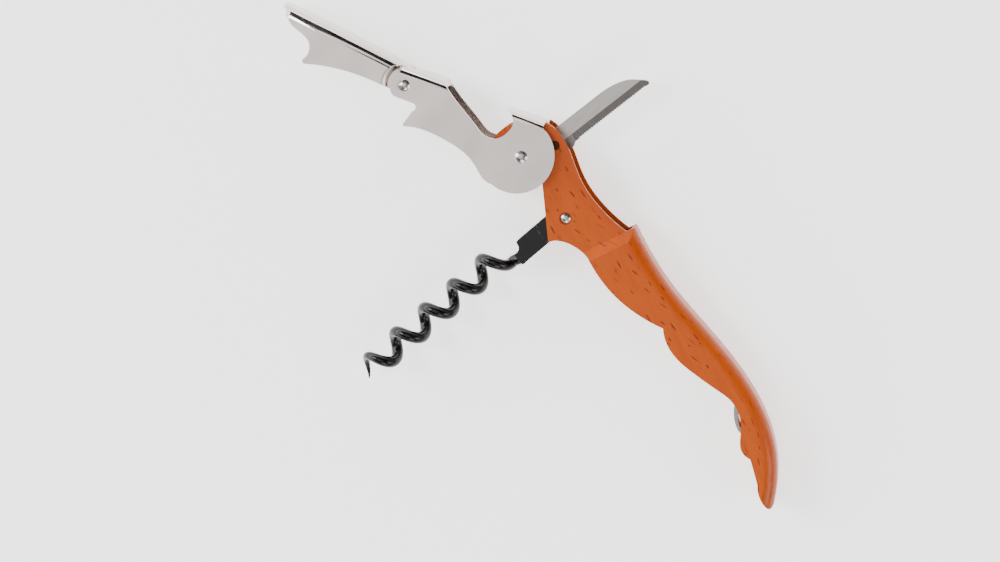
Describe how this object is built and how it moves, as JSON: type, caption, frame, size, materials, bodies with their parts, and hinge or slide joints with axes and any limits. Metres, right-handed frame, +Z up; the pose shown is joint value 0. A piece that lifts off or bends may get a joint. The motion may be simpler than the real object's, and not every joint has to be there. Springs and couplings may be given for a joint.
{
  "type": "lever corkscrew",
  "caption": "Folding lever corkscrew with a sheet-metal grip, a hinged two-stage lever with a cap lifter, a right-handed worm and a serrated foil knife.",
  "frame": {"origin": "middle of the underside of the box, with the opened corkscrew lying flat on its side", "axes": "+Z up through the thickness, along the pivots; X and Y in the plane of the cheeks, the grip pointing to +X and -Y"},
  "size_m": [0.1286, 0.1296, 0.014],
  "materials": {
    "handle_enamel": "orange enamel with short darker strokes like wood pores",
    "lever_plating": "polished plating",
    "worm_coating": "glossy black coating on steel",
    "blade_steel": "satin, with a ground bevel",
    "spring_steel": "plain spring steel",
    "rivet_steel": "plain steel"
  },
  "bodies": {
    "handle": {"handle_shell": "handle_enamel", "back_spring": "spring_steel", "lever_rivet": "rivet_steel", "worm_rivet": "rivet_steel", "knife_pin": "rivet_steel", "head_spacer": "rivet_steel", "knife_spacer_front": "rivet_steel", "knife_spacer_back": "rivet_steel", "lever_washer_front": "rivet_steel", "lever_washer_back": "rivet_steel", "worm_washer_front": "rivet_steel", "worm_washer_back": "rivet_steel"},
    "main_lever": {"main_lever": "lever_plating", "hinge_rivet": "rivet_steel", "hinge_washer_front": "rivet_steel", "hinge_washer_back": "rivet_steel"},
    "end_lever": {"end_lever": "lever_plating"},
    "worm": {"worm_wire": "worm_coating", "worm_shank": "worm_coating"},
    "knife": {"knife_blade": "blade_steel"}
  },
  "joints": [
    {"name": "lever_swing", "type": "hinge", "parent": "handle", "child": "main_lever", "pos_m": [-0.00206, 0.02587, 0.00702], "axis": [0, 0, 1], "range_deg": [0, 64]},
    {"name": "lever_hinge", "type": "hinge", "parent": "main_lever", "child": "end_lever", "pos_m": [-0.03226, 0.04397, 0.00702], "axis": [0, 0, 1], "range_deg": [0, 30]},
    {"name": "worm_fold", "type": "hinge", "parent": "handle", "child": "worm", "pos_m": [0.00934, 0.00997, 0.00702], "axis": [0, 0, 1], "range_deg": [0, 89]},
    {"name": "knife_fold", "type": "hinge", "parent": "handle", "child": "knife", "pos_m": [0.00654, 0.02877, 0.00702], "axis": [0, 0, 1], "range_deg": [-84, 30]}
  ]
}
